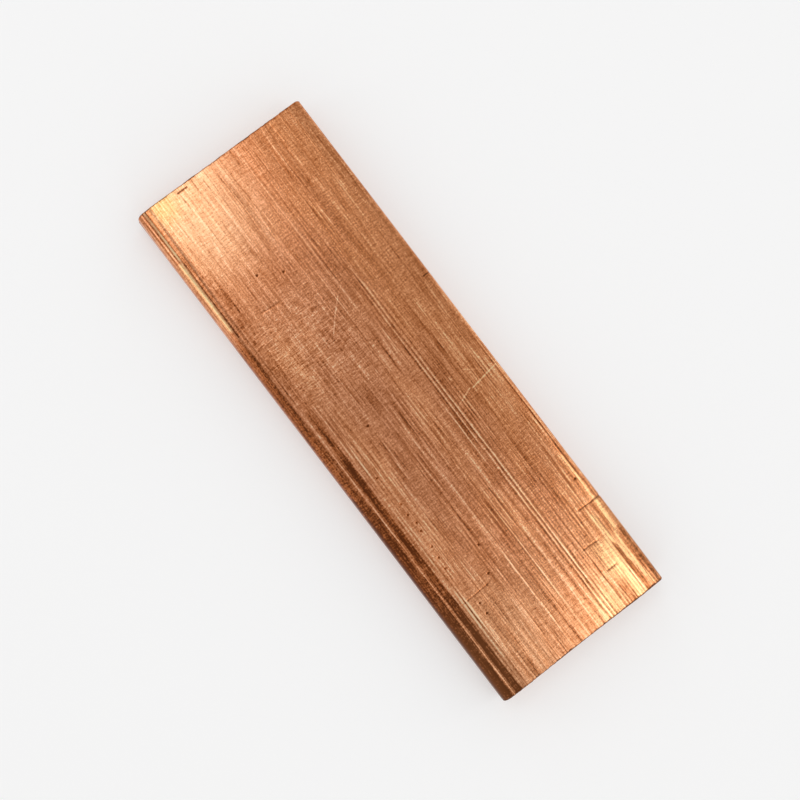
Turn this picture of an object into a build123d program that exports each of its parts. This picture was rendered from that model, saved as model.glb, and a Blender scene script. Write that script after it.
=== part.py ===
"""Copper flat bar: a short length sawn from drawn stock.

The bar lies on one broad face. X runs along its length, Y across its width and Z up
through its thickness. The origin is on the underside, at the middle of the bar. The
front side, at -Y, has rounder long corners than the back side, at +Y.
"""

import os

from build123d import *

# Driving sizes, in millimetres
LENGTH = 120.0            # between the two sawn ends
WIDTH = 40.0              # across the broad faces
THICKNESS = 8.0           # between the broad faces
FRONT_RADIUS = 2.5        # the two long corners of the front side
FRONT_ROLL_WIDTH = 6.0    # strip of a broad face that falls away towards the front side
FRONT_ROLL_DROP = 0.5     # how far it would fall by the front side
BACK_RADIUS = 1.2         # the two long corners of the back side
BACK_ROLL_WIDTH = 3.5     # strip of a broad face that falls away towards the back side
BACK_ROLL_DROP = 0.15     # how far it would fall by the back side
END_BREAK = 0.2           # small bevel that deburring leaves round each sawn end

# Places that follow from them, measured from the middle of the section
half_length = LENGTH / 2
half_width = WIDTH / 2
half_thickness = THICKNESS / 2
front_side_half = half_thickness - FRONT_ROLL_DROP
back_side_half = half_thickness - BACK_ROLL_DROP
flat_start = (-half_width + FRONT_ROLL_WIDTH, half_thickness)
flat_end = (half_width - BACK_ROLL_WIDTH, half_thickness)
end_plane = Plane(origin=(-half_length, 0, half_thickness), x_dir=(0, 1, 0), z_dir=(1, 0, 0))

os.makedirs("parts", exist_ok=True)

with BuildPart() as flat_bar:
    # The section that the die leaves: flat faces, rolled-off edges, rounded corners
    with BuildSketch(end_plane) as section:
        with BuildLine():
            flat = Line(flat_start, flat_end)
            front_roll = TangentArc(flat @ 0, (-half_width, front_side_half), tangent=flat % 0 * -1)
            back_roll = TangentArc(flat @ 1, (half_width, back_side_half), tangent=flat % 1)
            mirror([flat, front_roll, back_roll], about=Plane.XZ)
            Line(front_roll @ 1, (-half_width, -front_side_half))
            Line(back_roll @ 1, (half_width, -back_side_half))
        make_face()
        fillet(section.vertices().group_by(Axis.X)[0], radius=FRONT_RADIUS)
        fillet(section.vertices().group_by(Axis.X)[-1], radius=BACK_RADIUS)
    extrude(amount=LENGTH)

    # The saw leaves square ends, and a file takes their sharp edges off
    sawn_ends = flat_bar.faces().filter_by(Axis.X)
    chamfer(sawn_ends.edges(), length=END_BREAK)

flat_bar.part.label = "flat_bar"
export_step(flat_bar.part, "parts/flat_bar.step")

print("flat_bar size", flat_bar.part.bounding_box().size)
print("flat_bar volume", round(flat_bar.part.volume, 1), "cubic mm")
print("flat_bar faces", len(flat_bar.faces()))
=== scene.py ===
# %% [markdown]
# # A short length of copper flat bar
#
# The real thing is one piece of metal. A die draws it out, which leaves fine lines along
# it and rounds its long edges, and a saw cuts it to length. This lesson loads the
# measured bar, works out a finer surface for it with numpy, gives that surface a worn
# copper finish made of shader nodes, and lights it like a small product photograph.

import math

import bpy
import numpy as np
from mathutils import Matrix, Vector


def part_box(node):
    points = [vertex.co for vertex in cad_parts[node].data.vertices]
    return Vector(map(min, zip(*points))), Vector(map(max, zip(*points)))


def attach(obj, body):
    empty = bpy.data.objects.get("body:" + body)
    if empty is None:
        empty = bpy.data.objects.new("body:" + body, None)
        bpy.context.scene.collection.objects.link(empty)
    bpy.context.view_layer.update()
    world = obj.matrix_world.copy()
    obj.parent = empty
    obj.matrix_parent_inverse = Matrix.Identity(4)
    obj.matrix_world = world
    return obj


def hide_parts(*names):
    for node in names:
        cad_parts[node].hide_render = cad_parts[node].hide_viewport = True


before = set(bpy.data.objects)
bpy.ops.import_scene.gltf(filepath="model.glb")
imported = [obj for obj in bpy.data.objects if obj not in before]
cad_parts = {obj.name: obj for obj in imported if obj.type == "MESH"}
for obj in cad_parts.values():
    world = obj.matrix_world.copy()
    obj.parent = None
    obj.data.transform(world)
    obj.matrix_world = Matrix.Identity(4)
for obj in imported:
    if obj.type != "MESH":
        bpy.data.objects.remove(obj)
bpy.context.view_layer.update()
bar_low, bar_high = (np.array(corner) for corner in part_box("flat_bar"))
print("the bar measures", np.round((bar_high - bar_low) * 1000, 2), "mm")

# %% [markdown]
# ## Sizes
#
# A maker thinks about this bar in millimetres, and the relief on it is hundredths of a
# millimetre deep. So every shape below is worked out in millimetres and turned into
# metres once, at the end. Length, width and thickness come from the frame, and the rest
# are the sizes of the drawn section. The side at -Y is the front, with rounder corners.

# %% Sizes in millimetres
MM = 0.001
length, width, thickness = (bar_high - bar_low) / MM
half_length, half_width, half_thickness = length / 2, width / 2, thickness / 2
front_edge = {"roll_width": 6.0, "roll_drop": 0.5, "radius": 2.5}
back_edge = {"roll_width": 3.5, "roll_drop": 0.15, "radius": 1.2}
end_break = 0.2
flat_width = width - front_edge["roll_width"] - back_edge["roll_width"]
print("flat part of a broad face:", round(flat_width, 2), "mm wide")

# %% [markdown]
# ## The drawn section
#
# Each long edge has three stretches. The broad face rolls off along a wide shallow arc,
# a tight arc turns the corner, and a short upright side follows. A bevelled box would be
# quicker, but its edges would catch the light as one even stripe, which a drawn bar never
# does. Two circles that touch without a kink have their centres in line with the point
# where they touch, so one angle says where one arc hands over to the other.

# %% Section of one long edge
points_per_stretch = 400


def long_edge(roll_width, roll_drop, radius):
    """Points from the flat of the top face to the middle of the upright side.

    The roll is an arc of radius R = (w^2 + d^2) / 2d that starts level. It hands over to
    the corner arc of radius r at the angle whose sine is (w - r) / (R - r). The corner
    arc ends upright, and a straight line goes on down to half height.
    """
    roll_radius = (roll_width**2 + roll_drop**2) / (2 * roll_drop)
    hand_over = math.asin((roll_width - radius) / (roll_radius - radius))
    roll_turn = np.linspace(0, hand_over, points_per_stretch)
    corner_turn = np.linspace(hand_over, math.pi / 2, points_per_stretch)[1:]
    roll_centre = half_thickness - roll_radius
    corner_centre = roll_centre + (roll_radius - radius) * math.cos(hand_over)
    upright = np.linspace(corner_centre, 0, points_per_stretch)[1:]
    across = np.concatenate([
        half_width - roll_width + roll_radius * np.sin(roll_turn),
        half_width - radius + radius * np.sin(corner_turn),
        np.full_like(upright, half_width)])
    up = np.concatenate([
        roll_centre + roll_radius * np.cos(roll_turn),
        corner_centre + radius * np.cos(corner_turn),
        upright])
    return np.column_stack([across, up])


front_half = (long_edge(**front_edge) * (-1, 1))[::-1]
back_half = long_edge(**back_edge)
flat = np.linspace(front_half[-1], back_half[0], points_per_stretch)[1:-1]
upper_half = np.concatenate([front_half, flat, back_half])
steps = np.linalg.norm(np.diff(upper_half, axis=0), axis=1)
travel = np.concatenate([[0.0], np.cumsum(steps)])
print("over the top from side to side:", round(travel[-1], 2), "mm")

# %% [markdown]
# ## Two soft curves
#
# Wear has no hard borders. Nearly every mark below is shaped by one of two curves: a
# bell, which dies away on both sides of its middle, and a fade, which eases from 0 to 1.

# %% Bell and fade
def bell(distance, reach):
    """exp(-(distance / reach)^2): 1 in the middle, 1/e at the given reach."""
    return np.exp(-((distance / reach) ** 2))


def fade(values, low, high):
    """0 at low, 1 at high, and t^2 (3 - 2t) between. Low may be above high."""
    t = np.clip((values - low) / (high - low), 0, 1)
    return t * t * (3 - 2 * t)


print("a bell at its reach is", round(float(bell(1.0, 1.0)), 3), "high")

# %% [markdown]
# ## Where the points go
#
# The skin is a grid: columns run round the section, rows run along the bar. An even grid
# would waste points on the flats and starve the edges, so the points follow a density.
# Where the density is twice as high, they stand twice as close.

# %% Columns round the section
def spread(start, end, count, density, samples=12000):
    """count + 1 places from start to end, spaced in inverse proportion to the density.

    The density is summed along the way, and equal steps of that sum are read back.
    """
    fine = np.linspace(start, end, samples)
    weight = density(fine)
    total = np.concatenate([[0.0], np.cumsum((weight[1:] + weight[:-1]) / 2)])
    return np.interp(np.linspace(0, total[-1], count + 1), total, fine)


face_columns, side_columns, row_count = 176, 34, 208
corner_share = 0.3
front_turn = np.interp(
    corner_share * front_edge["radius"] - half_width, upper_half[:, 0], travel)
back_turn = np.interp(
    half_width - corner_share * back_edge["radius"], upper_half[:, 0], travel)


def face_density(place):
    """Points per millimetre across a broad face: denser over both rolled edges."""
    return 1 + 1.5 * bell(place - front_turn, 7) + bell(place - back_turn, 4)


on_front_side = np.linspace(0, front_turn, side_columns // 2 + 1)
on_face = spread(front_turn, back_turn, face_columns, face_density)
on_back_side = np.linspace(back_turn, travel[-1], side_columns // 2 + 1)
over_top = np.concatenate([on_front_side[:-1], on_face[:-1], on_back_side])
print("widest gap across the face:", round(float(np.diff(on_face).max()), 3), "mm")

# %% [markdown]
# ## Round the section
#
# The underside is the top turned over, so one list of stations serves both. Turning the
# list round by half a side makes the loop start at the front corner of the top face,
# which is also a corner of the two sawn ends.

# %% Section points and their outward directions
slope = np.gradient(upper_half, travel, axis=0)
outward_half = np.column_stack([-slope[:, 1], slope[:, 0]])


def read(values, place):
    """Each column of values, read off between its points at the given travel."""
    return np.column_stack([np.interp(place, travel, column) for column in values.T])


def close_loop(over, under):
    """The top's values, then the underside's in reverse, from the front corner on."""
    joined = np.concatenate([over, under[::-1][1:-1]])
    return np.roll(joined, -(side_columns // 2), axis=0)


section = close_loop(read(upper_half, over_top), read(upper_half, over_top) * (1, -1))
outward = close_loop(read(outward_half, over_top), read(outward_half, over_top) * (1, -1))
outward /= np.linalg.norm(outward, axis=1, keepdims=True)
round_loop = close_loop(over_top, 2 * travel[-1] - over_top)
columns = len(section)
print("columns round the section:", columns)

# %% [markdown]
# ## Rows along the bar
#
# Places on the top face are given as a maker would scribe them: millimetres along from
# the far end, and millimetres across from the front side. Short touches of a saw or of
# another sharp edge lie across the bar in eight places, and the rows crowd together
# there and at both ends, because a touch is narrower than the usual row.

# %% Rows, crowded where the bar was touched
saw_touches = [
    {"start": (98.9, 34.4), "end": (99.1, 40.0), "reach": 0.16, "depth": 0.018},
    {"start": (99.05, 39.5), "end": (99.1, 40.4), "reach": 0.20, "depth": 0.10},
    {"start": (99.4, 5.0), "end": (99.2, 11.5), "reach": 0.16, "depth": 0.020},
    {"start": (43.2, 38.2), "end": (43.2, 40.0), "reach": 0.15, "depth": 0.030},
    {"start": (105.6, 30.4), "end": (105.9, 34.4), "reach": 0.16, "depth": 0.014},
    {"start": (111.8, 31.8), "end": (111.8, 34.0), "reach": 0.16, "depth": 0.018},
    {"start": (30.0, 8.3), "end": (30.3, 12.3), "reach": 0.16, "depth": 0.012},
    {"start": (1.2, 9.4), "end": (1.2, 11.6), "reach": 0.14, "depth": 0.025},
]


def row_density(place):
    """Rows per millimetre: crowded at both ends and at every touch."""
    crowd = 0.55 + 5 * bell(place, 0.45) + 5 * bell(length - place, 0.45)
    for touch in saw_touches:
        crowd = crowd + 2.2 * bell(place - touch["start"][0], 0.5)
    return crowd


rows = spread(0, length, row_count, row_density)
out_of_reach = 10 * width
along = rows[:, None]
across = np.where(section[:, 1] > 0, section[:, 0] + half_width, out_of_reach)[None, :]
around = round_loop[None, :]
print("rows along the bar:", len(rows), "closest", round(np.diff(rows).min(), 3), "mm")

# %% [markdown]
# ## Relief
#
# Relief is a depth into the metal at every point of the grid. It is a sum of plain
# parts, each a formula over the whole grid at once: a slow waviness from rolling and
# handling, the die's lines, shallow dents, and cuts. Metal is only ever taken away, so
# the finished bar stays inside the measured one.

# %% Slow waviness
lattice = (64, 256)
margin = 3


def waviness(x, y, cell_x, cell_y, seed):
    """Smooth random heights from 0 to 1 over a lattice of cell_x by cell_y.

    Each lattice point has a random height. Between four of them the heights are mixed
    with weights t^2 (3 - 2t), which start and end level.
    """
    random = np.random.default_rng(seed)
    heights = random.random(lattice)
    x, y = np.broadcast_arrays(x / cell_x + margin, y / cell_y + margin)
    column, row = np.floor(x).astype(int), np.floor(y).astype(int)
    tx, ty = x - column, y - row
    tx, ty = tx * tx * (3 - 2 * tx), ty * ty * (3 - 2 * ty)
    column, row = column % lattice[0], row % lattice[1]
    next_column, next_row = (column + 1) % lattice[0], (row + 1) % lattice[1]
    near = heights[column, row] * (1 - tx) + heights[next_column, row] * tx
    far = heights[column, next_row] * (1 - tx) + heights[next_column, next_row] * tx
    return near * (1 - ty) + far * ty


relief = 0.030 * waviness(along, around, 21, 9, seed=4)
relief = relief + 0.010 * waviness(along, around, 7, 2.6, seed=9)
relief = relief + 0.004 * waviness(along, around, 2.5, 0.9, seed=12)
print("waviness down to", round(float(relief.max()), 3), "mm")

# %% [markdown]
# ## Lines from the die
#
# Grit caught in the die scores a line along everything that is drawn past it. A line
# wanders a little, and it starts and stops as the grit comes and goes. Most lines are
# random, and the ones that stand out on the top face are placed one by one.

# %% Lines along the bar
def stretch(place, start, end, easing):
    """1 between start and end, easing to 0 over the given length outside them."""
    rise = np.clip((place - start) / easing + 1, 0, 1)
    fall = np.clip((end - place) / easing + 1, 0, 1)
    return (rise * fall) ** 2


def die_line(centre, start, end, reach, groove, wander):
    """Depth of one line: a bell across it, faded in and out along it.

    Two slow sine waves, started by the wander, carry its middle to and fro.
    """
    drift = 0.12 * np.sin(along / 17 + wander) + 0.05 * np.sin(along / 6 + 2 * wander)
    return groove * bell(around - centre - drift, reach) * stretch(along, start, end, 6)


line_count = 150
random = np.random.default_rng(21)
lines = np.zeros((len(rows), columns))
for _ in range(line_count):
    start = random.uniform(-40, length)
    lines += die_line(
        centre=random.uniform(0, round_loop.max()), start=start,
        end=start + random.uniform(15, 110), reach=random.uniform(0.25, 0.60),
        groove=random.uniform(0.001, 0.006), wander=random.uniform(0, 6))
print("random die lines:", line_count, "deepest", round(float(lines.max()), 3), "mm")

# %% [markdown]
# Eleven deeper lines stand out, most of them along the rolled front edge. Each is given
# by its place across the top face, where it starts and ends along the bar, its reach and
# the depth of its groove.

# %% Lines placed one by one
placed_lines = [
    (0.5, 0, 60, 0.30, 0.025), (1.45, 0, 16, 0.26, 0.020), (1.9, 30, 64, 0.28, 0.030),
    (2.6, 0, 118, 0.30, 0.045), (3.6, 44, 120, 0.70, 0.040), (5.1, 50, 118, 0.28, 0.016),
    (28.0, 24, 119, 0.35, 0.006), (17.9, 66, 106, 0.40, 0.005),
    (24.6, 90, 119, 0.35, 0.006), (30.7, 76, 119, 0.30, 0.006),
    (38.95, 58, 96, 0.28, 0.025),
]
for wander, (place, start, end, reach, groove) in enumerate(placed_lines):
    centre = np.interp(place - half_width, upper_half[:, 0], travel)
    lines += die_line(centre, start, end, reach, groove, wander)
relief = relief + lines
print("placed die lines:", len(placed_lines), "deepest", round(float(lines.max()), 3), "mm")

# %% [markdown]
# ## Dents, cuts and droop
#
# A dent or a cut follows a short straight stroke on the top face. Its depth is a bell of
# the distance to that stroke. The droop is where the bar's ends were knocked and its
# corners bent down a hair, and it is what makes them flash under a lamp.

# %% Strokes on the top face
def stroke(start, end, reach, depth):
    """Depth by the distance to the straight stroke from start to end.

    The nearest point of the stroke is start + t (end - start), with t the projection of
    the place on the stroke, held between 0 and 1.
    """
    run_x, run_y = end[0] - start[0], end[1] - start[1]
    t = ((along - start[0]) * run_x + (across - start[1]) * run_y) / (run_x**2 + run_y**2)
    t = np.clip(t, 0, 1)
    away = np.hypot(along - start[0] - t * run_x, across - start[1] - t * run_y)
    return depth * bell(away, reach)


def droop(away, reach, middle, breadth, drop):
    """Depth of a bent corner: drop (1 - away / reach)^2 by a bell across the bar."""
    return drop * np.clip(1 - away / reach, 0, 1) ** 2 * bell(across - middle, breadth)


rub_marks = [
    {"start": (101, 36.0), "end": (118, 38.1), "reach": 0.60, "depth": 0.020},
    {"start": (99, 38.8), "end": (110, 37.4), "reach": 0.60, "depth": 0.022},
    {"start": (106, 35.2), "end": (120, 34.6), "reach": 0.90, "depth": 0.018},
    {"start": (46, 39.6), "end": (94, 39.6), "reach": 0.45, "depth": 0.050},
    {"start": (-2, 3.0), "end": (16, 2.8), "reach": 0.35, "depth": 0.030},
    {"start": (15, 1.9), "end": (30, 1.9), "reach": 0.60, "depth": 0.030},
]
cuts = sum(stroke(**touch) for touch in saw_touches)
dents = sum(stroke(**mark) for mark in rub_marks)
far_droop = droop(along, reach=12, middle=7, breadth=11, drop=0.16)
near_droop = droop(length - along, reach=15, middle=31, breadth=10, drop=0.20)
relief = relief + cuts + dents + far_droop + near_droop
print("cuts and dents:", len(saw_touches) + len(rub_marks), "and two drooping corners")

# %% [markdown]
# ## The edge of the sawn ends
#
# The saw leaves its own edge torn, and a file takes only the worst of it off. So the
# outline is drawn in by a small bevel at each end, and the teeth leave nicks in the rim.
# The strokes of the blade stand upright on the end, a little slanted, each a hair deeper
# or shallower than the last.

# %% Bevel, nicks and saw strokes
from_end = np.minimum(along, length - along)
bevel = np.clip(end_break - from_end, 0, None)
relief = relief + bevel


def nicks(place, seed, count, deepest):
    """Depth of the torn rim: bells at random places of random depth and reach."""
    random = np.random.default_rng(seed)
    centres = random.uniform(0, round_loop.max(), count)
    depths = deepest * random.uniform(0.15, 1, count) ** 2
    reaches = random.uniform(0.12, 0.45, count)
    return (depths * bell(place[:, None] - centres, reaches)).sum(axis=1)


def saw_marks(across_end, up_end, seed, lean, sweep):
    """Depth of the saw's strokes: waviness that is long up the end and short across it.

    The blade also wandered, which bends the whole end by the sweep.
    """
    leaning = across_end + lean * up_end
    fine = waviness(leaning, up_end, 0.55, 6, seed)
    broad = waviness(leaning, up_end, 2.7, 9, seed + 1)
    return 0.045 * fine + 0.05 * broad + sweep * fade(leaning, 13, -6)


far_saw = {"seed": 31, "lean": 0.25, "sweep": 0.05}
near_saw = {"seed": 41, "lean": -0.35, "sweep": 0.25}
far_rim = nicks(round_loop, seed=5, count=90, deepest=0.10) + saw_marks(*section.T, **far_saw)
near_rim = nicks(round_loop, seed=6, count=150, deepest=0.30) + saw_marks(*section.T, **near_saw)
print("far rim", round(far_rim.max(), 2), "mm deep, near rim", round(near_rim.max(), 2), "mm")

# %% [markdown]
# ## The skin
#
# Now every point of the skin can be placed. It starts on the section and moves inward,
# against its outward direction, by the relief. Near each end it also moves along the
# bar, into the metal, so that the torn rim doesn't stop at the last row.

# %% Points of the skin
pull_reach = 0.8
far_pull = far_rim * np.clip(1 - along / pull_reach, 0, 1)
near_pull = near_rim * np.clip(1 - (length - along) / pull_reach, 0, 1)
skin = np.empty((len(rows), columns, 3))
skin[..., 0] = along + far_pull - near_pull - half_length
skin[..., 1] = section[:, 0] - relief * outward[:, 0]
skin[..., 2] = section[:, 1] - relief * outward[:, 1] + half_thickness
print("skin grid", skin.shape[:2], "deepest relief", round(float(relief.max()), 3), "mm")

# %% [markdown]
# ## The sawn ends
#
# Each end is a patch stretched over the last ring of the skin, whose points it shares,
# so no seam can open. The patch mixes opposite edges and takes off the corners that are
# then counted twice. That is a Coons patch, and it keeps a neat grid, which a fan of
# triangles from the middle wouldn't. The saw's strokes are then pressed into its inside.

# %% A patch over a ring
ring_corners = np.cumsum([face_columns, side_columns, face_columns])


def four_sides(ring):
    """A ring cut at its corners: top, back, under and front, each from corner to corner."""
    first, second, third = ring_corners
    front = np.concatenate([ring[third:], ring[:1]])
    return ring[:first + 1], ring[first:second + 1], ring[second:third + 1][::-1], front[::-1]


def patch(ring):
    """Points of a grid whose border is the closed ring.

    With a and b from 0 to 1: (1-b) front(a) + b back(a) + (1-a) top(b) + a under(b),
    less the four corners mixed by (1-a)(1-b), a(1-b), (1-a)b and ab.
    """
    top, back, under, front = four_sides(ring)
    a = np.linspace(0, 1, side_columns + 1)[:, None, None]
    b = np.linspace(0, 1, face_columns + 1)[None, :, None]
    sides = (1 - b) * front[:, None] + b * back[:, None]
    faces = (1 - a) * top[None] + a * under[None]
    twice = ((1 - a) * (1 - b) * top[0] + a * (1 - b) * under[0]
             + (1 - a) * b * top[-1] + a * b * under[-1])
    return sides + faces - twice


far_end = patch(skin[0])
near_end = patch(skin[-1])
inner = (slice(1, -1), slice(1, -1))
for end, plane, inward, saw in [
        (far_end, -half_length, 1, far_saw), (near_end, half_length, -1, near_saw)]:
    pressed = saw_marks(end[..., 1], end[..., 2] - half_thickness, **saw)
    end[inner + (0,)] = (plane + inward * pressed)[inner]
print("each sawn end:", far_end.shape[0] - 1, "by", far_end.shape[1] - 1, "faces")

# %% [markdown]
# ## One closed mesh
#
# The skin's rows and the two ends are joined by numbering: the border of each end takes
# the numbers of the skin's first or last row, and only its inner points are new. All
# faces are ordered so that they point outwards.

# %% Number the faces
skin_count = len(rows) * columns
inner_shape = (side_columns - 1, face_columns - 1)


def ring_numbers(first):
    """Numbers of a row of the skin, arranged round the border of an end's grid."""
    grid = np.zeros((side_columns + 1, face_columns + 1), int)
    grid[0], grid[:, -1], grid[-1], grid[:, 0] = four_sides(first + np.arange(columns))
    return grid


def grid_faces(grid):
    """Four corner numbers of every face of a numbered grid."""
    corners = [grid[:-1, :-1], grid[1:, :-1], grid[1:, 1:], grid[:-1, 1:]]
    return np.stack(corners, -1).reshape(-1, 4)


skin_numbers = np.arange(skin_count).reshape(len(rows), columns)
skin_numbers = np.column_stack([skin_numbers, skin_numbers[:, 0]])
far_numbers = ring_numbers(0)
near_numbers = ring_numbers(skin_count - columns)
far_numbers[inner] = skin_count + np.arange(np.prod(inner_shape)).reshape(inner_shape)
near_numbers[inner] = far_numbers[inner] + np.prod(inner_shape)

points = np.concatenate([
    skin.reshape(-1, 3), far_end[inner].reshape(-1, 3), near_end[inner].reshape(-1, 3)])
faces = np.concatenate([
    grid_faces(skin_numbers), grid_faces(far_numbers)[:, ::-1], grid_faces(near_numbers)])
print("points", len(points), "faces", len(faces), "triangles", 2 * len(faces))

# %% [markdown]
# A closed surface tells whether its faces point outwards. Each face and the origin span a
# small pyramid, and the pyramids add up to the volume of the bar only if all faces are
# turned the same way. Every edge is then walked once in each direction.

# %% Check that the faces point outwards
one, two, three, four = (points[faces[:, corner]] for corner in range(4))
volume = (one * (np.cross(two, three) + np.cross(three, four))).sum() / 6
edges = np.stack([faces, np.roll(faces, -1, axis=1)], axis=-1).reshape(-1, 2)
one_way = np.unique(edges, axis=0)
print("volume", round(float(volume)), "cubic mm")
print("edges", len(edges) // 2, "walked once each way:", len(one_way) == len(edges))

# %% [markdown]
# A mesh is handed its points in metres and its faces as lists of point numbers. Then it
# rides on the body called root, and it stands in for the plain bar, which is hidden.

# %% Make the mesh
mesh = bpy.data.meshes.new("drawn_copper_bar")
mesh.from_pydata((points * MM).tolist(), [], faces.tolist())
mesh.shade_smooth()
drawn_bar = bpy.data.objects.new("drawn_copper_bar", mesh)
bpy.context.collection.objects.link(drawn_bar)
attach(drawn_bar, "root")
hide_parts("flat_bar")
print("made", drawn_bar.name, "with", len(mesh.polygons), "faces")

# %% [markdown]
# ## What the finish needs to know
#
# Some of the finish follows the shape: film gathers in grooves, painted shade darkens the
# rim, and the sawn ends are raw metal. Such masks are wider than the gaps between the
# points, so they are worked out with numpy and stored as attributes, one number at every
# point, which the material reads by name.

# %% Masks that follow the shape
def store(name, skin_values, end_value=0):
    """One number per point: the skin's own, and the same for all inner end points."""
    values = np.full(len(points), float(end_value))
    values[:skin_count] = np.broadcast_to(skin_values, (len(rows), columns)).ravel()
    mesh.attributes.new(name, "FLOAT", "POINT").data.foreach_set("value", values)
    print("attribute", name, "from", round(values.min(), 3), "to", round(values.max(), 3))


# Painted shade: a dark outline on the last quarter millimetre of skin at both sawn ends, stronger
# on the near half.
rim = bell(from_end, 0.24) * (0.4 + waviness(along * 0, around, 1, 1.3, seed=17))
store("sawn", np.clip(bevel / end_break, 0, 1), end_value=1)
store("rim", rim * (1 + fade(along, 60, 61) * 0.6))
store("groove", np.clip((lines + 0.5 * cuts) / 0.05, 0, 1))

# %% [markdown]
# ## Painted shade along the front edge
#
# The rest of the finish follows the bar's past, and some of it is painted light. Along the
# rolled front edge a painted shade stands in for the dark that the rounded edge mirrors: one
# strip at the far half, a darker one at the near half, and a narrow band beside it. It
# thins down the side.

# %% Painted front shade
def strongest(*masks):
    """The largest of the masks at every point."""
    return np.maximum.reduce(np.broadcast_arrays(*masks))


from_front_side = (section[:, 0] + half_width)[None, :] + np.zeros_like(along)
# Painted shade: the strips and the band darken the rolled front edge in place of the dark that it
# would mirror.
far_shade_strip = fade(from_front_side, 2.2, 1.4) * fade(along, 28, 36) * 0.75
near_shade_strip = fade(from_front_side, 2.7, 2.0) * fade(along, 44, 80) * 1.1
lowest_shade = 0.4 * fade(from_front_side, 1.1, 0.3) * fade(along, 60, 90)
near_shade_strip = near_shade_strip * (1 + lowest_shade)
shade_band = fade(from_front_side, 2.6, 3.1) * fade(from_front_side, 4.6, 4.0) * fade(along, 42, 68)
downwards = 0.35 + 0.65 * fade(section[:, 1], -1, 3)
on_front_half = section[:, 0] < 0
store("stain", strongest(far_shade_strip, near_shade_strip, shade_band) * downwards * on_front_half)

# %% [markdown]
# ## Rubbing, painted highlights and painted shade
#
# Rubbing bares the metal, and painted highlights lie over it. The far corner is polished and
# painted paler as a highlight, painted highlight streaks cross one another at the near
# corner over the dents, with darker, warmer painted shade between them, both long edges
# carry painted highlights, and one patch of the top face was dragged over a bench, which
# left fine scratches across it.

# %% Polish, painted highlights and painted shade
# Polish and painted highlight: the far corner is rubbed metal, and it is painted paler as a
# highlight too.
far_corner_polish_and_highlight = fade(along, 27, 9) * fade(across, 1.5, 5) * fade(across, 27, 13) * 0.9
# Painted highlights: bright streaks over the dents at the near corner, and two broad patches
# beside them.
near_highlight_streaks = strongest(
    stroke((101.5, 36.0), (108.0, 36.5), 0.42, 1.0),
    stroke((108.0, 36.5), (119.0, 38.1), 0.42, 0.9),
    stroke((99.3, 38.7), (105.5, 38.2), 0.45, 1.0),
    stroke((105.5, 38.2), (112.0, 36.8), 0.45, 0.9),
    stroke((107.0, 35.2), (121.0, 34.5), 0.70, 0.9),
    stroke((107.5, 33.2), (113.5, 33.3), 1.4, 0.6),
    stroke((116.5, 28.0), (121.0, 27.6), 2.6, 0.5))
# Painted shade: darker, warmer streaks between the painted highlights at the near corner.
warm_shade_streaks = strongest(
    stroke((108.5, 36.15), (121.0, 36.3), 0.35, 1.0),
    stroke((99.5, 37.35), (106.0, 37.5), 0.35, 1.0),
    stroke((107.0, 39.0), (121.0, 39.2), 0.90, 1.0),
    stroke((116.5, 32.8), (120.0, 32.7), 0.60, 0.8))
# Painted highlights on the front roll near the far end: a bright stripe and a line.
far_edge_highlight = strongest(
    stroke((13.0, 1.30), (29.0, 1.32), 0.40, 1.0),
    stroke((-2.0, 1.76), (12.0, 1.72), 0.22, 0.7))
# Painted highlights along the back edge: a streak toward the near end and the rolled rim along
# the middle.
back_highlight_streak = stroke((88.0, 38.4), (98.6, 38.5), 0.40, 1.0)
back_rim_highlight = fade(across, 38.95, 39.3) * (across < out_of_reach)
back_rim_highlight = back_rim_highlight * fade(along, 44, 52) * fade(along, 97, 90) * 0.7
dragged_patch = (fade(along, 27, 36) * fade(along, 56, 46)
                 * fade(across, 1, 6) * fade(across, 26, 17))
store("polish", far_corner_polish_and_highlight)
# Painted highlights along both long edges, as a lighter tone.
store("worn", strongest(back_rim_highlight, far_edge_highlight, back_highlight_streak))
# Painted highlights: the near streaks, the bright stripe on the front roll and the back streak.
store("flash", strongest(near_highlight_streaks * (1 - warm_shade_streaks), 0.75 * far_edge_highlight, 0.3 * back_highlight_streak))
# Painted shade between the painted highlights at the near corner.
store("warm", warm_shade_streaks)
store("dragged", dragged_patch)

# %% [markdown]
# ## A language for the finish
#
# A finish in Blender is a graph of nodes. Wiring sums one node at a time hides what they
# say, so a small class wraps an output socket and lets Python's operators add the Math
# nodes. With it a line of the finish reads like the formula that it is.

# %% Sockets that can be added and multiplied
def lay_stops(elements, stops):
    """Set a colour ramp's elements to the stops, (place, (red, green, blue, alpha))."""
    while len(elements) < len(stops):
        elements.new(0.5)
    for element, (place, colour) in zip(elements, stops):
        element.position = place
        element.color = colour


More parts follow.
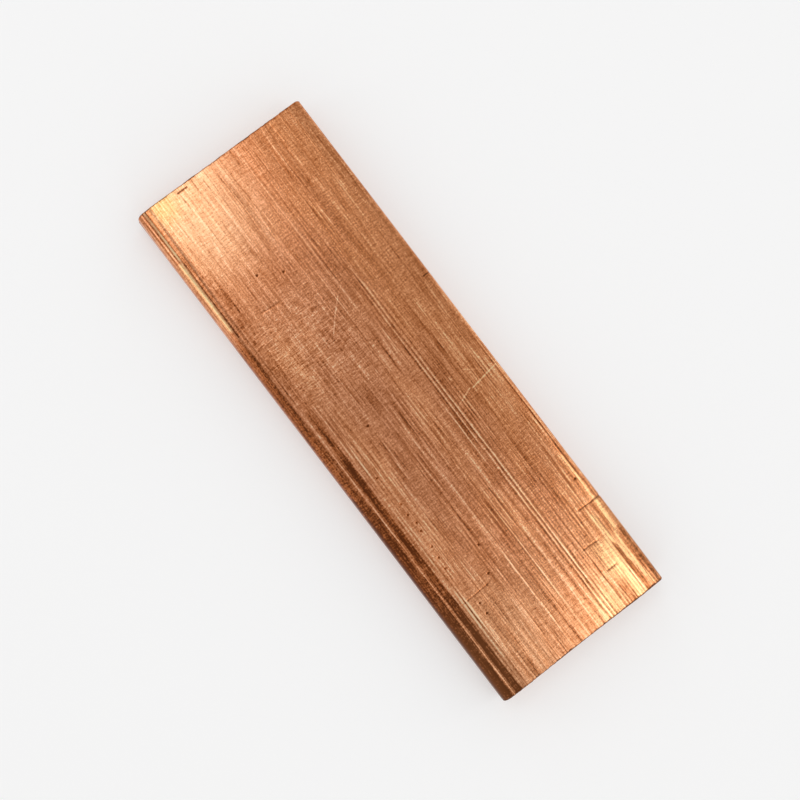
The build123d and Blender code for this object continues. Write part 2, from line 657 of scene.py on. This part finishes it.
class Wire:
    """An output socket of a graph of nodes. Its operators add Math nodes to the graph."""

    def __init__(self, tree, socket=None):
        self.tree, self.socket = tree, socket

    def node(self, kind, settings=None, output=0, **inputs):
        """A new node's output: settings first, then a value or a link for each input.

        An input is named by its socket's name with _ for a space, or by in0, in1, ... for
        its number. A last node, which has no output, gives an empty wire.
        """
        made = self.tree.nodes.new(kind)
        for name, value in (settings or {}).items():
            if name == "stops":
                lay_stops(made.color_ramp.elements, value)
            else:
                setattr(made, name, value)
        for name, value in inputs.items():
            numbered = name.startswith("in") and name[2:].isdigit()
            socket = made.inputs[int(name[2:]) if numbered else name.replace("_", " ")]
            if isinstance(value, Wire):
                self.tree.links.new(value.socket, socket)
            else:
                socket.default_value = value
        return Wire(self.tree, made.outputs[output] if made.outputs else None)

    def maths(self, operation, *values):
        """A Math node of the given operation on the given values."""
        inputs = {f"in{index}": value for index, value in enumerate(values)}
        return self.node("ShaderNodeMath", {"operation": operation}, **inputs)

    def vector(self, operation, *values, output=0):
        """A Vector Math node. Its output 0 is the vector, and its output 1 the number."""
        inputs = {f"in{index}": value for index, value in enumerate(values)}
        return self.node("ShaderNodeVectorMath", {"operation": operation}, output, **inputs)

    def part(self, index):
        """One number of a vector: 0 for its x, 1 for its y and 2 for its z."""
        return self.node("ShaderNodeSeparateXYZ", output=index, Vector=self)

    def __add__(self, other):
        return self.maths("ADD", self, other)

    def __sub__(self, other):
        return self.maths("SUBTRACT", self, other)

    def __rsub__(self, other):
        return self.maths("SUBTRACT", other, self)

    def __mul__(self, other):
        return self.maths("MULTIPLY", self, other)

    def __abs__(self):
        return self.maths("ABSOLUTE", self)

    __radd__ = __add__
    __rmul__ = __mul__

    def ease(self, low, high):
        """0 at low, 1 at high, and a smooth step between. Low may be above high."""
        settings = {"interpolation_type": "SMOOTHSTEP"}
        return self.node("ShaderNodeMapRange", settings, Value=self, From_Min=low, From_Max=high)


# %% [markdown]
# ## Where the finish is measured from
#
# The finish reads object coordinates, scaled so that one unit is a millimetre. From them
# come the same two measures that placed the relief: how far along from the far end, and
# how far across from the front side. Marks that belong to the top face are kept off the
# sides by a mask that rises through the upper half of the thickness.

# %% Start the copper material
copper = bpy.data.materials.new("worn_copper")
copper.use_nodes = True
copper.node_tree.nodes.clear()
graph = Wire(copper.node_tree)
in_metres = graph.node("ShaderNodeTexCoord", output="Object")
in_mm = graph.node("ShaderNodeVectorMath", {"operation": "SCALE"}, in0=in_metres, Scale=1 / MM)
on_plan = in_mm.vector("MULTIPLY_ADD", in_mm, (1, 1, 0), (half_length, half_width, 0))
from_far, from_front = on_plan.part(0), on_plan.part(1)
height_up = in_mm.part(2)
on_top = height_up.ease(half_thickness, half_thickness + 1)


def tell(added):
    """Print how many nodes the copper has, with what was added last."""
    print("copper with", added + ":", len(copper.node_tree.nodes), "nodes")


tell("its measures")

# %% [markdown]
# ## Grain of the drawn face
#
# Drawing combs the face into streaks that run the whole length. There are broad ones
# that a hand would feel, and fine ones that only shine. All are random values stretched
# along the bar. Copper also has a fine dull grain, which is the same in all directions,
# and the sawn ends have upright strokes of their own.

# %% Streaks and grain
def uneven(*cell, detail=2.0, roughness=0.5, offset=(0, 0, 0)):
    """Smooth random values about 0.5, whose cells are cell millimetres long in X, Y and Z."""
    settings = {"vector_type": "TEXTURE"}
    scaled = graph.node("ShaderNodeMapping", settings, Vector=in_mm, Location=offset, Scale=cell)
    return graph.node(
        "ShaderNodeTexNoise", {"noise_dimensions": "3D"}, Vector=scaled, Scale=1.0,
        Detail=detail, Roughness=roughness)


strands = uneven(9, 0.30, 0.30, detail=1, offset=(4, 2, 9))
combed = uneven(34, 0.44, 0.44, detail=2, offset=(7, 3, 1))
bands = uneven(70, 1.7, 1.7, detail=2, offset=(4, 6, 2))
wide_bands = uneven(150, 6.5, 6.5, detail=1, offset=(1, 9, 4))
clouds = uneven(19, 8, 8, detail=3, offset=(3, 5, 8))
blotches = uneven(3.4, 1.8, 1.8, detail=4, roughness=0.6, offset=(9, 2, 6))
grain = uneven(0.36, 0.30, 0.30, detail=1, roughness=0.6, offset=(5, 1, 2))
weave = uneven(0.28, 1.7, 1.7, detail=1, offset=(3, 8, 5))
saw_strokes = uneven(9, 0.20, 5.0, detail=2, roughness=0.6, offset=(8, 4, 1))
lively = uneven(16, 3.0, 3.0, detail=2, offset=(2, 6, 4)).ease(0.36, 0.62)
tell("streaks and grain")

# %% [markdown]
# ## Hair lines
#
# A thin line appears where a random value passes through its middle, so a stretched noise
# gives long hairs at no cost. One set runs along the bar, light and dark. Where the bar
# was dragged sideways, short hairs run across it. They crowd in the dragged patch of the
# top face and thin out elsewhere.

# %% Hairs along and across
def attribute(name):
    """A number stored at the mesh's points."""
    return graph.node("ShaderNodeAttribute", {"attribute_name": name}, output="Fac")


def hairs(noise, thinness):
    """1 where the noise passes through its middle value, and 0 away from it."""
    return (abs(noise - 0.5) * thinness).ease(1, 0)


patches = uneven(9, 1.6, 1.6, detail=2, offset=(2, 2, 9))
light_hairs = hairs(uneven(46, 1.5, 1.5, detail=2, offset=(6, 4, 7)), 34)
dark_hairs = hairs(uneven(40, 1.2, 1.2, detail=2, offset=(1, 8, 3)), 34)
light_hairs = light_hairs * patches.ease(0.42, 0.62)
dark_hairs = dark_hairs * patches.ease(0.60, 0.44)
crossing = hairs(uneven(0.8, 7, 7, detail=1, offset=(2, 7, 3)), 26)
short_crossing = hairs(uneven(0.5, 2.6, 2.6, detail=2, offset=(8, 1, 5)), 20)
dragged = attribute("dragged")
scratches = (crossing * (dragged * 0.6 + clouds.ease(0.42, 0.70) * 0.35)
             + short_crossing * (dragged * 0.6 + 0.3))
tell("hairs")

# %% [markdown]
# ## Lines of the die, and painted reflection on the front edge
#
# A few lines stand out. They all run one way, so a single profile across the bar draws a
# whole group of them: 0.5 where there is no line, more on a light one and less on a dark
# one. A colour ramp holds such a profile in one node. Noise makes the lines drift a
# little, and fade in and out. On the rolled front edge the lines are partly painted
# reflection: light and dark bands that stand in for what the rounded edge mirrors.

# %% A profile of lines across the bar
drift = uneven(28, 400, 400, detail=2, offset=(5, 0, 0))
drifting = from_front + (drift - 0.5) * 0.5


def ramp(value, stops, output="Color"):
    """A colour ramp through the stops, (place, (red, green, blue, alpha))."""
    return value.node("ShaderNodeValToRGB", {"stops": stops}, output, Fac=value)


def profile(low, high, scored):
    """Lines across the bar between low and high, as a number about 0.

    Each line is (place, half breadth, strength), a triangle in the profile. The ramp's
    stops are the corners of all the triangles, and the alpha of each holds their sum.
    """
    turns = {place + side * reach for place, reach, _ in scored for side in (-1, 0, 1)}
    stops = []
    for turn in sorted({low, high} | turns):
        strengths = [strength * max(0, 1 - abs(turn - place) / reach)
                     for place, reach, strength in scored]
        stops.append(((turn - low) / (high - low), (0, 0, 0, 0.5 + 0.5 * sum(strengths))))
    share = (drifting - low) * (1 / (high - low))
    return ramp(share, stops, output="Alpha") * 2.0 - 1.0


# Partly painted reflection: on the rolled front edge these light and dark lines stand in for what
# the rounded edge mirrors, among real die lines.
front_near_lines_and_sheen = profile(1.5, 8.5, [
    (2.45, 0.30, 1.0), (4.50, 0.24, 0.7), (4.85, 0.15, -0.3), (5.20, 0.24, 1.0),
    (5.55, 0.20, -0.8), (5.90, 0.22, 0.6), (7.45, 0.22, 0.4), (7.95, 0.22, -0.4)])
front_far_lines_and_sheen = profile(0.0, 3.5, [
    (0.45, 0.22, 0.5), (0.80, 0.16, -0.7), (1.12, 0.22, 0.4), (1.45, 0.18, -1.0),
    (1.76, 0.20, 1.1), (2.08, 0.18, -1.0), (2.45, 0.22, 0.5)])
pair = profile(26.0, 29.0, [
    (26.63, 0.25, -0.7), (27.05, 0.22, 0.7), (27.46, 0.20, -0.9), (27.80, 0.26, 1.2),
    (28.30, 0.22, -0.7)])
far_half = profile(9.0, 31.0, [
    (9.8, 0.22, 0.6), (20.1, 0.22, -0.5), (23.75, 0.24, 0.6), (25.1, 0.25, -0.5),
    (30.15, 0.22, 0.5)])
near_half = profile(14.0, 26.5, [
    (14.9, 0.25, -0.6), (16.2, 0.25, -0.5), (17.46, 0.24, 0.9), (17.80, 0.20, -0.6),
    (19.2, 0.35, -0.5), (20.96, 0.25, -0.5), (21.38, 0.20, 0.5), (23.80, 0.24, 0.8),
    (25.1, 0.35, -0.7), (25.71, 0.24, 0.7)])
near_back = profile(30.0, 38.0, [
    (30.35, 0.22, 0.6), (30.66, 0.18, -0.7), (30.98, 0.20, 0.5), (33.55, 0.26, -0.6),
    (33.95, 0.22, 0.5), (35.80, 0.26, 0.8)])
tell("profiles")

# %% [markdown]
# Each group of lines belongs to one stretch of the bar, so it fades in and out along it.
# The finest streaks break the lines up, as dirt and wear do.

# %% The groups along the bar
broken = strands.ease(0.25, 0.60) * 0.6 + 0.4
die_lines_and_sheen = (front_near_lines_and_sheen * from_far.ease(44, 56) + front_far_lines_and_sheen * from_far.ease(15, 11)
             + pair * from_far.ease(10, 62) * 1.3 + far_half * from_far.ease(46, 38)
             + near_half * from_far.ease(58, 76) + near_back * from_far.ease(74, 98))
die_lines_and_sheen = die_lines_and_sheen * broken * on_top
tell("die lines")

# %% [markdown]
# ## Scratches and cuts
#
# A scratch is painted as a thin straight stroke, or as a chain of strokes where it
# bends. The distance to it is worked out by nodes, because it is far narrower than the
# gaps between the mesh's points. Light ones are fresh, and dark ones have had time to
# gather dirt. The dark cuts lie over the touches that are pressed into the mesh.

# %% Strokes painted on the top face
def drawn_stroke(first, last, half_breadth):
    """1 on the stroke from first to last, fading to 0 at half_breadth beside it.

    As in the mesh, the nearest point is first + t (last - first), with t held between 0
    and 1. Here the places are vectors.
    """
    run = (last[0] - first[0], last[1] - first[1], 0)
    per_length = [part / (run[0]**2 + run[1]**2) for part in run]
    past = on_plan.vector("SUBTRACT", on_plan, (*first, 0))
    t = past.node("ShaderNodeClamp", Value=past.vector("DOT_PRODUCT", past, per_length, output=1))
    nearest = t.node("ShaderNodeVectorMath", {"operation": "SCALE"}, in0=run, Scale=t)
    return past.vector("DISTANCE", past, nearest, output=1).ease(half_breadth, 0)


def chain(corners, half_breadth):
    """The strongest of the strokes between neighbouring corners."""
    joined, *others = (drawn_stroke(a, b, half_breadth) for a, b in zip(corners, corners[1:]))
    for other in others:
        joined = graph.maths("MAXIMUM", joined, other)
    return joined


def chains(*marks):
    """The sum of several chains, each (strength, half breadth, corner, corner, ...)."""
    return sum(chain(corners, reach) * strength for strength, reach, *corners in marks)


bright_marks = chains(
    (0.50, 0.24, (67.4, 24.0), (66.9, 27.4)),
    (0.80, 0.24, (67.9, 28.4), (66.5, 32.2)),
    (1.00, 0.26, (66.8, 32.6), (65.8, 39.2)),
    (0.70, 0.24, (41.9, 16.9), (38.9, 19.6), (36.3, 22.2)),
    (0.35, 0.22, (36.3, 22.2), (34.6, 24.4)),
    (0.35, 0.24, (62.8, 33.3), (65.2, 36.7)),
    (1.00, 0.34, (62.4, 30.0), (62.9, 30.1))) * on_top
dark_cuts = chains(
    (1.00, 0.22, (98.9, 34.4), (99.1, 40.2)),
    (0.60, 0.26, (99.4, 5.0), (99.2, 11.5)),
    (0.70, 0.24, (105.6, 30.4), (105.9, 34.4)),
    (1.00, 0.22, (111.8, 31.8), (111.8, 34.0)),
    (1.00, 0.22, (43.2, 38.2), (43.2, 40.2)),
    (0.50, 0.22, (30.0, 8.3), (30.3, 12.3)),
    (1.30, 0.30, (1.2, 9.4), (1.2, 11.6))) * height_up.ease(6.4, 7.2)
edge_shadow = chains((1.0, 0.26, (13.0, 2.05), (31.0, 1.80))) * on_top
tell("scratches and cuts")

# %% [markdown]
# ## Pits
#
# Small dark pits lie in a row along the front of the near half, and a few lie alone.
# Each is a dot by its distance to a point.

# %% Pits
pit_places = [
    (69.5, 6.6), (76.4, 7.3), (78.9, 7.1), (81.2, 7.5), (83.0, 7.2), (86.7, 7.1),
    (89.2, 6.8), (91.7, 6.6), (97.6, 12.7), (92.0, 14.6), (101.2, 7.8), (103.6, 7.7),
    (23.5, 12.0), (26.0, 16.7), (93.5, 37.9), (60.3, 11.4),
]


def dot(place, middle=0.10, border=0.42):
    """1 within middle of the place, fading to 0 at the border."""
    return on_plan.vector("DISTANCE", on_plan, (*place, 0), output=1).ease(border, middle)


pits = sum(dot(place) for place in pit_places) * on_top
tell("pits")

# %% [markdown]
# ## Tone
#
# Copper darkens as its oxide film thickens: rose first, then orange brown, then a deep brown
# in grooves. Along the rolled front edge the deep brown is painted shade, and the palest
# metal is rubbed metal with painted highlights on it.
# So one number, the tone, runs from dark to pale, and colour ramps turn it into colour.
# The weights below say how far each part can move the tone. First come the streaks and
# the grain, stronger toward the near end and calmer on the sides, and the saw's strokes.

# %% Tone of the drawn and the sawn faces
# The rim, the front shade and the warm streaks are painted shade; the polish, the edge highlight
# and the bright streaks carry painted highlights.
groove, sawn, rim, painted_front_shade_mask, polish, worn, flash, warm = map(attribute, [
    "groove", "sawn", "rim", "stain", "polish", "worn", "flash", "warm"])

toward_near = from_far.ease(30, 75)
lined = (lively + 0.5) * (toward_near * 0.45 + 0.65)
combing = ((strands - 0.5) * lined * 0.85 + (combed - 0.5) * lined * 0.36
           + (bands - 0.5) * 0.28 + (wide_bands - 0.5) * 0.26)
woven = dragged * 0.6 - lively * 0.5 + 1.0
texture = ((grain - 0.5) * 0.80 + (weave - 0.5) * woven * 0.62
           + (blotches - 0.5) * 0.18 + (clouds - 0.5) * 0.16)
calmer = (1 - sawn * 0.85) * (on_top * 0.45 + 0.55)
drawn_tone = (combing + texture) * calmer
saw_tone = (saw_strokes - 0.5) * sawn * 0.50 + sawn * 0.10
tell("the tone of its faces")

# %% [markdown]
# Then come the marks. The painted front shade is broken up by the streaks, a thin dark
# line follows the back edge, and a mottled strip lies behind the front roll near the far end.

# %% Tone of the marks
# Painted shade along the rolled front edge, broken up by the streaks.
stain = painted_front_shade_mask * (bands.ease(0.2, 0.5) * 0.35 + strands * 0.50 + 0.40)
back_line = (abs(drifting - 38.9).ease(0.26, 0) * patches.ease(0.30, 0.45)
             * (from_far.ease(98, 92) * from_far.ease(56, 66) * 0.8 + 0.2) * on_top)
mottled_strip = (from_front.ease(3.0, 3.4) * from_front.ease(6.5, 4.4)
                 * from_far.ease(12, 18) * from_far.ease(50, 40))
mottle = mottled_strip * (blotches - 0.42)

hair_tone = (light_hairs * 0.20 - dark_hairs * 0.20 + scratches * 0.14) * (1 - sawn)
mark_tone = (die_lines_and_sheen * 0.40 + bright_marks * 0.48 - pits * 0.60 - dark_cuts * 0.50
             - edge_shadow * 0.40)
# In this sum the edge highlight is painted highlight, and the front shade, the rim and the warm
# streaks are painted shade.
film_and_painted_light_tone = (worn * 0.28 - groove * 0.12 - stain * 0.41 - back_line * 0.36 - rim * 0.5
             - warm * 0.24 - from_far.ease(90, 108) * 0.10 - mottle * 1.2)
tone = drawn_tone + saw_tone + hair_tone + mark_tone + film_and_painted_light_tone + 0.5
tell("the whole tone")

# %% [markdown]
# ## Colour
#
# Five ramps run over the same tone. Rose is the usual copper, and orange is where the
# film is thicker: in clouds and toward the back edge. The warm streaks are orange too, as
# painted shade. Pale and yellow are polished metal and painted highlights, and the
# brightest ramp is the colour of painted highlights.

# %% Ramps from dark to pale
tone_places = (0.00, 0.22, 0.50, 0.74, 1.00)


def metal(*colours):
    """A ramp over the tone, with the colours (red, green, blue) at the five tone places."""
    return ramp(tone, [(place, (*colour, 1)) for place, colour in zip(tone_places, colours)])


rose = metal(
    (0.13, 0.034, 0.010), (0.40, 0.120, 0.037), (0.645, 0.253, 0.114),
    (0.905, 0.407, 0.217), (0.98, 0.66, 0.42))
orange = metal(
    (0.13, 0.032, 0.008), (0.40, 0.115, 0.030), (0.645, 0.243, 0.094),
    (0.905, 0.395, 0.18), (0.98, 0.66, 0.36))
pale = metal(
    (0.24, 0.10, 0.035), (0.52, 0.26, 0.13), (0.77, 0.475, 0.265),
    (0.89, 0.615, 0.375), (0.97, 0.78, 0.54))
yellow = metal(
    (0.24, 0.10, 0.02), (0.50, 0.31, 0.09), (0.76, 0.52, 0.21),
    (0.87, 0.66, 0.29), (0.97, 0.81, 0.41))
# Painted highlight colour of the near streaks and the long edges.
highlight_copper = metal(
    (0.40, 0.17, 0.07), (0.72, 0.39, 0.19), (0.94, 0.60, 0.28),
    (0.959, 0.696, 0.328), (0.98, 0.80, 0.38))
tell("ramps")

# %% [markdown]
# Colours are mixed by Mix nodes, because a Math node would turn them grey.

# %% Mix the colours
def mix_colours(usual, other, share):
    """(1 - share) usual + share other, with the share held between 0 and 1."""
    settings = {"data_type": "RGBA", "clamp_factor": True}
    return share.node("ShaderNodeMix", settings, output=2, in0=share, in6=usual, in7=other)


toward_back = from_front.ease(16, 38) * (from_far.ease(100, 20) * 0.5 + 0.5)
clouded = (clouds * 0.6 + wide_bands * 0.6).ease(0.50, 0.80) * 0.6
# A painted yellow highlight at the tip of the far corner.
corner_tip_highlight = from_far.ease(7, 2) * from_front.ease(10, 6)
# Paler where the far corner is polished and painted highlight, and a painted highlight toward the
# near end.
pale_wear_and_highlight = polish * 0.52 + from_far.ease(92, 108) * 0.25
# Painted highlights on the near streaks and along both long edges.
highlight_share = flash * (strands.ease(0.2, 0.5) * 0.30 + 0.45)
coloured = mix_colours(rose, orange, clouded + toward_back + warm)
coloured = mix_colours(coloured, mix_colours(pale, yellow, corner_tip_highlight), pale_wear_and_highlight)
coloured = mix_colours(coloured, highlight_copper, highlight_share)
tell("mixed colours")

# %% [markdown]
# ## Roughness and fine relief
#
# Handled copper is neither mirror nor matte. The roughness wanders about 0.21, duller in
# scratches, pits and the painted front shade. What is too fine for the mesh goes into a Bump
# node: its height is in millimetres, and its distance of one millimetre turns that into metres.

# %% Roughness and bump
rough = (0.21 + (combed - 0.5) * 0.12 + (clouds - 0.5) * 0.10 + (grain - 0.5) * 0.12
         + scratches * 0.06 + pits * 0.2 + sawn * 0.03 + stain * 0.12)
streak_height = strands * 0.0025 + combed * 0.004 + bands * 0.007 + blotches * 0.005
grain_height = grain * 0.002 + weave * 0.0012 + die_lines_and_sheen * 0.003
mark_depth = (light_hairs * 0.002 + dark_hairs * 0.003 + scratches * 0.002
              + bright_marks * 0.003 + pits * 0.02)
height = (streak_height * (1 - sawn) + saw_strokes * sawn * 0.022 + grain_height
          - mark_depth)
bumped = graph.node("ShaderNodeBump", Strength=1.0, Distance=MM, Height=height)
tell("bump")

# %% [markdown]
# The Principled shader is given full metal. On a metal its base colour is the colour of
# what it mirrors, so the lamps below come back as copper.

# %% Finish the material
surface = graph.node(
    "ShaderNodeBsdfPrincipled", Base_Color=coloured, Metallic=1.0, Roughness=rough, Normal=bumped)
surface.node("ShaderNodeOutputMaterial", Surface=surface)
mesh.materials.append(copper)
tell("its shader")

# %% [markdown]
# ## Floor
#
# The bar lies on a plain pale floor. It is matte, and it also glows a little for rays
# that look at it or mirror it. The glow makes it a pale background without more light on
# the bar, and the light on it still shows the bar's shadow.

# %% Floor
floor_colour, floor_glow, floor_reach = (0.70, 0.70, 0.70, 1), 0.33, 12.0
pale_floor = bpy.data.materials.new("pale_floor")
pale_floor.use_nodes = True
pale_floor.node_tree.nodes.clear()
ground = Wire(pale_floor.node_tree)
seen = sum(ground.node("ShaderNodeLightPath", output=ray) for ray in (
    "Is Camera Ray", "Is Glossy Ray", "Is Transmission Ray"))
matte = ground.node("ShaderNodeBsdfDiffuse", Color=floor_colour)
glow = ground.node("ShaderNodeEmission", Color=(1, 1, 1, 1), Strength=seen * floor_glow)
both = ground.node("ShaderNodeAddShader", in0=matte, in1=glow)
both.node("ShaderNodeOutputMaterial", Surface=both)

corners = [(-1, -1, 0), (1, -1, 0), (1, 1, 0), (-1, 1, 0)]
floor_mesh = bpy.data.meshes.new("floor")
floor_mesh.from_pydata([Vector(corner) * floor_reach for corner in corners], [], [(0, 1, 2, 3)])
floor_mesh.materials.append(pale_floor)
floor = bpy.data.objects.new("floor", floor_mesh)
bpy.context.collection.objects.link(floor)
print("floor reaches", floor_reach, "m")

# %% [markdown]
# ## World
#
# Metal shows what is around it. Straight overhead, which is what the top face mirrors to
# the camera, the studio is dimmer, and all round it is pale. Eight soft windows stand
# round the horizon, a wave over the bearing. An even studio would make the bar look like
# painted wood from low down, and the windows give it the sheen of metal there.

# %% World
world = bpy.data.worlds.new("studio")
world.use_nodes = True
world.node_tree.nodes.clear()
bpy.context.scene.world = world
level_around, level_overhead = 0.87, 0.58
window_count, first_window = 8, math.radians(-104)
sky = Wire(world.node_tree)
direction = sky.node("ShaderNodeTexCoord")
eastward, northward, upward = (direction.part(index) for index in range(3))
bearing = sky.maths("ARCTAN2", northward, eastward)
wave = sky.maths("COSINE", bearing * window_count - window_count * first_window)
windows = (wave * 0.54 + 0.08) * upward.ease(0.08, 0.24) * upward.ease(0.72, 0.46)
overhead = upward.ease(0.45, 0.85)
level = overhead * (level_overhead - level_around) + level_around + windows
shine = sky.node("ShaderNodeBackground", Color=(1, 1, 1, 1), Strength=level)
shine.node("ShaderNodeOutputWorld", Surface=shine)
print("windows:", window_count, "nodes in the world:", len(world.node_tree.nodes))

# %% [markdown]
# ## Lamps
#
# Three soft panels hang level over the bar, out of the picture. They are placed by what
# the metal mirrors: one shows in the far corner, one in the near end, and one in the
# rolled back edge.

# %% Lamps
panel_height = 0.62


def panel(name, low, high, radiance):
    """A soft rectangular lamp that hangs level over the bar.

    Low and high are its corners in plan, in metres. A lamp of area A gives the radiance
    P / (pi A), so its power is pi A times the radiance.
    """
    size = np.subtract(high, low)
    light = bpy.data.lights.new(name, "AREA")
    light.shape = "RECTANGLE"
    light.size, light.size_y = size
    light.energy = radiance * math.pi * size[0] * size[1]
    lamp = bpy.data.objects.new(name, light)
    lamp.location = (*(np.add(low, high) / 2), panel_height)
    bpy.context.collection.objects.link(lamp)
    print(name, "power", round(light.energy, 2), "W")


panel("far_panel", (-0.42, -0.16), (-0.150, 0.075), 1.65)
panel("near_panel", (0.158, 0.058), (0.40, 0.168), 2.25)
panel("edge_panel", (0.100, 0.190), (0.168, 0.320), 2.60)

# %% [markdown]
# ## Camera
#
# The camera looks down on the bar from nearly overhead, a little from the front, close
# enough for the near end to look larger. The picture is turned so that the bar runs from
# the upper left to the lower right.

# %% Camera
focal_length = 58.5
camera_place = Vector((2.2, -27.1, 263)) * MM
bar_middle = Vector((0, 0, half_thickness * MM))
picture_turn = math.radians(52.85)
lens = bpy.data.cameras.new("camera")
lens.lens = focal_length
lens.clip_start = 0.01
camera = bpy.data.objects.new("camera", lens)
ahead = (bar_middle - camera_place).normalized()
rightwards = Vector((math.cos(picture_turn), math.sin(picture_turn), 0))
rightwards = (rightwards - rightwards.dot(ahead) * ahead).normalized()
upwards = rightwards.cross(ahead)
camera.matrix_world = Matrix.Translation(camera_place) @ Matrix(
    (rightwards, upwards, -ahead)).transposed().to_4x4()
bpy.context.collection.objects.link(camera)
bpy.context.scene.camera = camera
bpy.context.scene.view_settings.view_transform = "Standard"
print("camera to bar:", round((bar_middle - camera_place).length * 1000), "mm")
